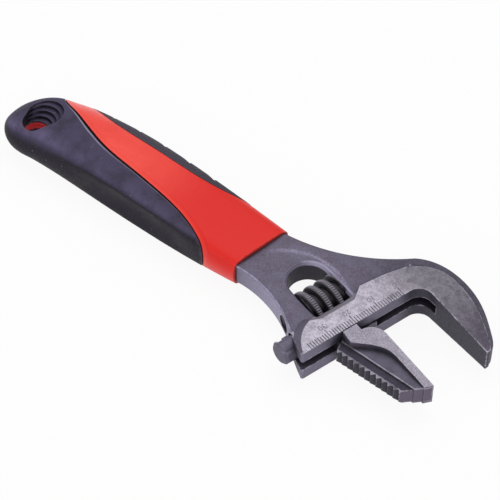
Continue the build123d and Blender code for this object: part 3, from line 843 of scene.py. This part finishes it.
def red_plastic():
    # Satin moulded plastic of the grip core, sloping down to the seam
    material, tree, shader, coords = start_material("grip_red_plastic", 0.0, 0.2)
    vector = coords["Object"]
    skin, wear_and_shade = finish_skin(tree, vector, red_spots, red_wear)
    away = place_group(tree, grip_seam, Vector=vector)["Away"]
    along = parts_of(tree, vector)["X"]
    slope = remap(tree, away, *seam_slope)
    beyond_hole = remap(tree, distance(tree, vector, (0.0, 0.0, 0.0)), *hole_edge)

    # Red, with painted shade deeper at the front, a painted highlight down the slope and a painted sheen
    # where it is seen aslant
    color = blend(tree, skin["Patches"], red_low, red_high)
    color = blend(tree, remap(tree, along, *red_front), color, red_front_shade)
    color = cover(tree, color, slope, 0.4, red_slope_highlight)
    color = cover(tree, color, skin["Flecks"], 0.25, red_fleck)
    aslant = add(tree, "LayerWeight", {"Blend": 0.5}).outputs["Facing"]
    sheen = remap(tree, along, *sheen_along, 0.3, 0.9)
    color = cover(tree, color, remap(tree, aslant, *sheen_facing), sheen, red_sheen)

    # Rubbed edges, dirt with painted shade, painted light in the hang hole, and painted shade in the cut by
    # the seam
    color = cover(tree, color, wear_and_shade["Rubbed"], 0.3, red_rubbed)
    color = cover(tree, color, wear_and_shade["Dirt"], times(tree, beyond_hole, 0.8), red_dirt_and_shade)
    color = blend(tree, beyond_hole, red_hole_light, color)
    cut = times(tree, remap(tree, away, *seam_cut), beyond_hole)
    color = cover(tree, color, cut, 0.85, red_seam_shade)
    rough = remap(tree, skin["Grain"], 0.0, 1.0, 0.5, 0.4, "LINEAR")
    height = calc(tree, "SUBTRACT", times(tree, skin["Height"], 0.04), slope)
    finish_material(tree, shader, color, rough, height, 0.6, 0.6)
    return material


def black_rubber():
    # Soft-touch rubber with a bloom and painted sheen on top, a raised lip with a painted highlight by the
    # seam, and scattered dust
    material, tree, shader, coords = start_material("grip_black_rubber", 0.0, 0.14)
    vector = coords["Object"]
    skin, wear_and_shade = finish_skin(tree, vector, rubber_spots, rubber_wear)
    seam = place_group(tree, grip_seam, Vector=vector)
    along = parts_of(tree, vector)["X"]
    normal = parts_of(tree, coords["Normal"])

    # Bloom and painted sheen on the top, and a painted highlight on the near shoulder, strongest at the tail
    color = blend(tree, skin["Patches"], rubber_low, rubber_high)
    top = remap(tree, calc(tree, "ABSOLUTE", normal["Z"]), *top_facing)
    bloom_and_sheen = times(tree, top, remap(tree, skin["Patches"], -1.0, 1.0))
    color = cover(tree, color, bloom_and_sheen, remap(tree, along, *bloom_and_sheen_along, 0.4, 0.8), rubber_bloom_and_sheen)
    shoulder = band(tree, normal["Y"], *shoulder_facing)
    shoulder = times(tree, shoulder, remap(tree, skin["Patches"], -0.6, 1.0))
    tail = remap(tree, remap(tree, along, *tail_along), 0.0, 1.0, 0.25, 0.75)
    color = cover(tree, color, shoulder, tail, rubber_shoulder_highlight)
    color = cover(tree, color, skin["Grain"], 0.16, rubber_grain)
    color = cover(tree, color, remap(tree, seam["Away"], *strip_away), 0.7, far_strip_rubber)

    # Painted highlight on the lip by the seam, dust, rubbed edges, and dirt with painted shade, thinner in
    # the funnel round the hang hole
    lip = band(tree, seam["Gap"], *lip_gap)
    shine = times(tree, remap(tree, along, *lip_fade, 0.35, 1.0), remap(tree, along, *lip_start, 0.2, 1.0))
    color = cover(tree, color, lip, shine, rubber_lip_highlight)
    color = cover(tree, color, skin["Flecks"], 0.5, rubber_dust)
    color = cover(tree, color, wear_and_shade["Rubbed"], 0.3, rubber_rubbed)
    funnel = remap(tree, distance(tree, vector, funnel_centre), *funnel_edge, 0.45, 0.8)
    color = cover(tree, color, wear_and_shade["Dirt"], funnel, rubber_dirt_and_shade)

    # Painted shade: dark groove of the seam
    groove = times(tree, remap(tree, seam["Gap"], *groove_near), remap(tree, seam["Gap"], *groove_far))
    color = cover(tree, color, groove, 0.85, groove_shade)
    rough = remap(tree, skin["Patches"], 0.0, 1.0, 0.5, 0.64)
    height = calc(tree, "ADD", times(tree, skin["Height"], 0.25), lip)
    finish_material(tree, shader, color, rough, height, 0.25, 0.5)
    return material


def engraved_ink():
    # Dark fill of the scale numbers, worn thin in places
    material, tree, shader, coords = start_material("engraved_ink", 0.2, 0.3)
    skin, wear_and_shade = finish_skin(tree, coords["Object"], ink_spots, ink_wear)
    color = blend(tree, skin["Patches"], ink_low, ink_high)
    color = cover(tree, color, wear_and_shade["Rubbed"], 0.2, ink_rubbed)
    rough = remap(tree, skin["Grain"], 0.0, 1.0, 0.5, 0.7, "LINEAR")
    finish_material(tree, shader, color, rough, skin["Height"], 0.02, 0.05)
    return material


def dress(node, material):
    # One material on a node of the frame
    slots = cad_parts[node].data.materials
    slots.clear()
    slots.append(material)


oiled = worm_steel()
rubber = black_rubber()
ink = engraved_ink()
dress("wrench_body", forged_steel())
dress("sliding_jaw", jaw_steel())
dress("worm_pin", oiled)
dress("worm_spring", oiled)
dress("grip_core", red_plastic())
dress("grip_tail_pad", rubber)
dress("grip_far_strip", rubber)

# New pieces on the bodies that carry them
worm = model_worm()
worm.data.materials.append(oiled)
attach(worm, "worm")
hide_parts("adjusting_worm")
for mark in range(4):
    number = model_number(mark)
    number.data.materials.append(ink)
    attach(number, "frame")

# Stage: pale floor under the grip's belly
floor_level = cad_low.z - floor_gap
bpy.ops.object.select_all(action="DESELECT")
bpy.ops.mesh.primitive_plane_add(size=floor_size, location=(0, 0, floor_level))
floor = bpy.context.active_object
floor.name = "floor"
floor_material = bpy.data.materials.new("pale_floor")
floor_material.use_nodes = True
tree = floor_material.node_tree
tree.nodes.clear()
paths = add(tree, "LightPath").outputs
seen = calc(tree, "MAXIMUM", paths["Is Camera Ray"], paths["Is Glossy Ray"])
seen = calc(tree, "MAXIMUM", seen, paths["Is Transmission Ray"])
paper = add(tree, "BsdfDiffuse", {"Color": grey(paper_white)}).outputs[0]
white = add(tree, "Emission", {"Color": grey(1.0), "Strength": 1.0}).outputs[0]
shade = add(tree, "MixShader", {0: times(tree, seen, floor_glow), 1: paper, 2: white}).outputs[0]
add(tree, "OutputMaterial", {"Surface": shade})
floor.data.materials.append(floor_material)

# World: even white surround
world = bpy.data.worlds.new("studio")
world.use_nodes = True
bpy.context.scene.world = world
tree = world.node_tree
tree.nodes.clear()
paths = add(tree, "LightPath").outputs
strength = remap(tree, paths["Is Camera Ray"], 0.0, 1.0, surround_light, 1.0, "LINEAR")
back = add(tree, "Background", {"Color": grey(1.0), "Strength": strength}).outputs[0]
add(tree, "OutputWorld", {"Surface": back})


def add_softbox(name, place, aim, size, watts):
    # Rectangular lamp that faces the wrench
    data = bpy.data.lights.new(name, "AREA")
    data.shape = "RECTANGLE"
    data.size = size[0]
    data.size_y = size[1]
    data.energy = watts
    lamp = bpy.data.objects.new(name, data)
    bpy.context.scene.collection.objects.link(lamp)
    lamp.location = place
    lamp.rotation_mode = "QUATERNION"
    lamp.rotation_quaternion = (Vector(aim) - Vector(place)).to_track_quat("-Z", "Y")


middle = (cad_low + cad_high) / 2
add_softbox("overhead", middle + overhead_offset, middle, overhead_size, overhead_watts)
add_softbox("near_fill", middle + near_fill_offset, middle, near_fill_size, near_fill_watts)

# Camera
camera_data = bpy.data.cameras.new("camera")
camera_data.lens = camera_lens
camera_data.sensor_width = camera_sensor
camera_data.clip_start = camera_near
camera = bpy.data.objects.new("camera", camera_data)
bpy.context.scene.collection.objects.link(camera)
camera.location = camera_place
camera.rotation_mode = "QUATERNION"
camera.rotation_quaternion = camera_view.to_track_quat("-Z", "Y")
bpy.context.scene.camera = camera
bpy.context.scene.view_settings.view_transform = "Standard"
